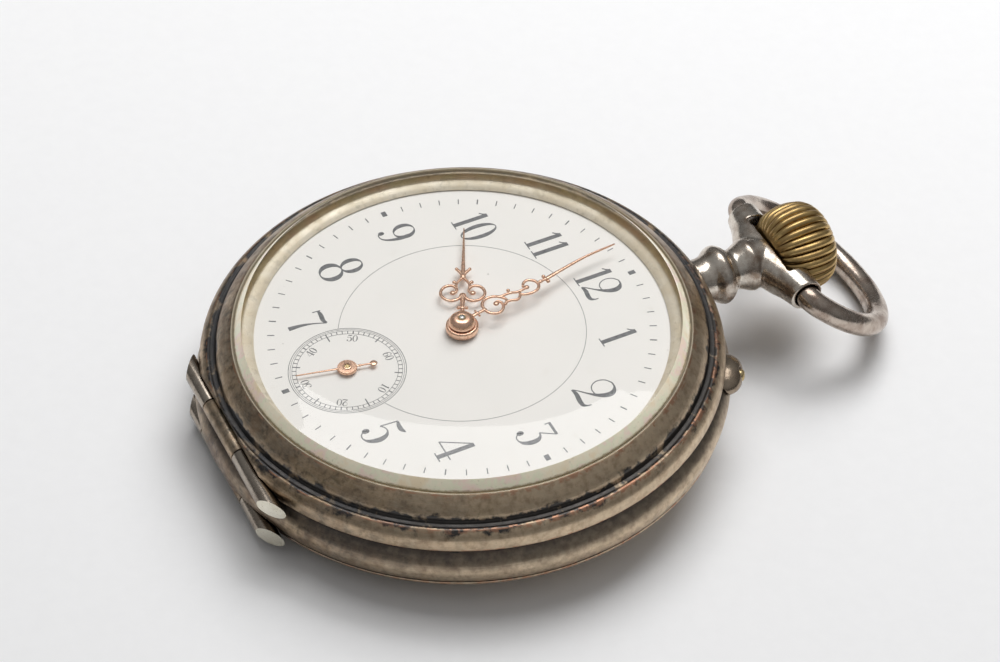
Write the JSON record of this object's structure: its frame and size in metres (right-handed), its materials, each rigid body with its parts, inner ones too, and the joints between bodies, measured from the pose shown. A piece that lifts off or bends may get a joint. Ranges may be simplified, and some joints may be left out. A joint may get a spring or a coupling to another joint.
{
  "type": "open face pocket watch",
  "caption": "Open face pocket watch: hinged silver case, enamel dial, ornate hands, crown and swinging bow, with the whole stem-wound lever movement inside.",
  "frame": {"origin": "middle of the flat centre of the rear cover, where the watch rests on its back", "axes": "+Z out of the dial, +Y to 12 o'clock and the pendant, +X to 3 o'clock"},
  "size_m": [0.0526, 0.0733, 0.0169],
  "materials": {
    "aged_silver": "tarnished silver, dark in the grooves and coppery on worn edges",
    "bright_silver": "polished silver with light brown tarnish",
    "glass": "clear, with a ground bevel",
    "enamel": "glossy white vitreous enamel on copper with fired black print",
    "rose_gold": "polished rose gold plate",
    "brass": "worn brass with dark flutes",
    "gilt": "fine frosted gilding",
    "steel": "polished steel",
    "blued_steel": "polished and heat-blued steel"
  },
  "bodies": {
    "case": {"case_band": "aged_silver", "pendant": "bright_silver", "push_guard": "bright_silver", "bezel_knuckle_left": "aged_silver", "bezel_knuckle_right": "aged_silver", "bezel_hinge_pin": "steel", "rear_knuckle_left": "aged_silver", "rear_knuckle_right": "aged_silver", "rear_hinge_pin": "steel", "dial": "enamel", "main_plate": "gilt", "barrel_bridge": "gilt", "train_bridge": "gilt", "balance_cock": "gilt", "pallet_cock": "gilt", "case_screw_left": "blued_steel", "case_screw_right": "blued_steel", "barrel_bridge_screw": "blued_steel", "train_bridge_screw": "blued_steel", "balance_cock_screw": "blued_steel", "crown_wheel_screw": "blued_steel", "click_spring": "blued_steel", "hairspring": "blued_steel"},
    "bezel": {"bezel": "aged_silver", "bezel_knuckle_centre": "aged_silver", "crystal": "glass"},
    "rear_cover": {"rear_cover": "aged_silver", "rear_cover_knuckle": "aged_silver"},
    "cuvette": {"cuvette": "bright_silver", "cuvette_knuckle": "aged_silver"},
    "bow": {"bow": "bright_silver"},
    "crown": {"crown": "brass", "winding_stem": "steel", "winding_pinion": "steel", "sliding_pinion": "steel"},
    "crown_wheel": {"crown_wheel": "steel"},
    "ratchet": {"ratchet_wheel": "steel", "ratchet_screw": "blued_steel", "barrel_arbor": "steel"},
    "click": {"click": "steel"},
    "push_button": {"push_button": "brass"},
    "setting_lever": {"setting_lever": "steel"},
    "minute_hand": {"minute_hand": "rose_gold", "cannon_pinion": "steel"},
    "hour_hand": {"hour_hand": "rose_gold", "hour_wheel": "gilt"},
    "minute_wheel": {"minute_wheel": "gilt"},
    "setting_wheel": {"setting_wheel": "steel"},
    "fourth_wheel": {"fourth_wheel": "gilt", "seconds_hand": "rose_gold"},
    "third_wheel": {"third_wheel": "gilt"},
    "centre_wheel": {"centre_wheel": "gilt"},
    "barrel": {"mainspring_barrel": "gilt", "barrel_cover": "gilt", "mainspring": "blued_steel"},
    "escape_wheel": {"escape_wheel": "steel"},
    "pallet_fork": {"pallet_fork": "steel"},
    "balance": {"balance_wheel": "gilt", "balance_staff": "steel"}
  },
  "joints": [
    {"name": "bezel_hinge", "type": "hinge", "parent": "case", "child": "bezel", "pos_m": [0, -0.0247, 0.0073], "axis": [1, 0, 0], "range_deg": [0, 100]},
    {"name": "rear_cover_hinge", "type": "hinge", "parent": "case", "child": "rear_cover", "pos_m": [0, -0.0249, 0.003], "axis": [-1, 0, 0], "range_deg": [0, 100]},
    {"name": "cuvette_hinge", "type": "hinge", "parent": "case", "child": "cuvette", "pos_m": [0, -0.0249, 0.003], "axis": [-1, 0, 0], "range_deg": [0, 50]},
    {"name": "bow_swing", "type": "hinge", "parent": "case", "child": "bow", "pos_m": [0, 0.0351, 0.0057], "axis": [1, 0, 0], "range_deg": [-63, 137]},
    {"name": "crown_wind", "type": "hinge", "parent": "case", "child": "crown", "pos_m": [0, 0.0351, 0.0057], "axis": [0, 1, 0], "continuous": true},
    {"name": "crown_wheel_turn", "type": "hinge", "parent": "case", "child": "crown_wheel", "pos_m": [0, 0.01302, 0.0025], "axis": [0, 0, 1], "continuous": true},
    {"name": "ratchet_turn", "type": "hinge", "parent": "case", "child": "ratchet", "pos_m": [0.008, 0.00462, 0.0025], "axis": [0, 0, 1], "continuous": true},
    {"name": "click_rock", "type": "hinge", "parent": "case", "child": "click", "pos_m": [0.01462, 0.00998, 0.0025], "axis": [0, 0, 1], "range_deg": [-8, 8]},
    {"name": "push_button_slide", "type": "slide", "parent": "case", "child": "push_button", "axis": [-0.5, -0.866, 0], "range_m": [0, 0.0008], "stiffness_N_per_m": 300},
    {"name": "setting_lever_rock", "type": "hinge", "parent": "case", "child": "setting_lever", "pos_m": [0.0046, 0.016, 0.0057], "axis": [0, 0, -1], "range_deg": [0, 12]},
    {"name": "minute_hand_spin", "type": "hinge", "parent": "case", "child": "minute_hand", "pos_m": [0, 0, 0.01], "axis": [0, 0, -1], "continuous": true},
    {"name": "hour_hand_spin", "type": "hinge", "parent": "case", "child": "hour_hand", "pos_m": [0, 0, 0.01], "axis": [0, 0, -1], "continuous": true},
    {"name": "minute_wheel_spin", "type": "hinge", "parent": "case", "child": "minute_wheel", "pos_m": [0.0006, 0.00476, 0.0085], "axis": [0, 0, -1], "continuous": true},
    {"name": "setting_wheel_spin", "type": "hinge", "parent": "case", "child": "setting_wheel", "pos_m": [0, 0.01033, 0.0085], "axis": [0, 0, -1], "continuous": true},
    {"name": "seconds_hand_spin", "type": "hinge", "parent": "case", "child": "fourth_wheel", "pos_m": [0, -0.01215, 0.01], "axis": [0, 0, -1], "continuous": true},
    {"name": "third_wheel_spin", "type": "hinge", "parent": "case", "child": "third_wheel", "pos_m": [-0.00225, -0.00646, 0.005], "axis": [0, 0, -1], "continuous": true},
    {"name": "centre_wheel_spin", "type": "hinge", "parent": "case", "child": "centre_wheel", "pos_m": [0, 0, 0.006], "axis": [0, 0, -1], "continuous": true},
    {"name": "barrel_spin", "type": "hinge", "parent": "case", "child": "barrel", "pos_m": [0.008, 0.00462, 0.005], "axis": [0, 0, -1], "continuous": true},
    {"name": "escape_wheel_spin", "type": "hinge", "parent": "case", "child": "escape_wheel", "pos_m": [-0.0049, -0.01412, 0.006], "axis": [0, 0, -1], "continuous": true},
    {"name": "pallet_rock", "type": "hinge", "parent": "case", "child": "pallet_fork", "pos_m": [-0.00689, -0.01088, 0.0055], "axis": [0, 0, 1], "range_deg": [-5, 5]},
    {"name": "balance_swing", "type": "hinge", "parent": "case", "child": "balance", "pos_m": [-0.0096, -0.0066, 0.0043], "axis": [0, 0, 1], "range_deg": [-220, 220], "stiffness_Nm_per_rad": 0.000004}
  ],
  "couplings": [
    {"joint": "cuvette_hinge", "follows": "rear_cover_hinge", "ratio": 0.5},
    {"joint": "crown_wheel_turn", "follows": "crown_wind", "ratio": 0.45161},
    {"joint": "ratchet_turn", "follows": "crown_wind", "ratio": -0.30435},
    {"joint": "setting_lever_rock", "follows": "push_button_slide", "rad_per_m": 261},
    {"joint": "hour_hand_spin", "follows": "minute_hand_spin", "ratio": 0.083333},
    {"joint": "minute_wheel_spin", "follows": "minute_hand_spin", "ratio": -0.33333},
    {"joint": "setting_wheel_spin", "follows": "minute_hand_spin", "ratio": 0.6},
    {"joint": "third_wheel_spin", "follows": "seconds_hand_spin", "ratio": -0.13333},
    {"joint": "centre_wheel_spin", "follows": "seconds_hand_spin", "ratio": 0.016667},
    {"joint": "barrel_spin", "follows": "seconds_hand_spin", "ratio": -0.0027778},
    {"joint": "escape_wheel_spin", "follows": "seconds_hand_spin", "ratio": -10}
  ]
}
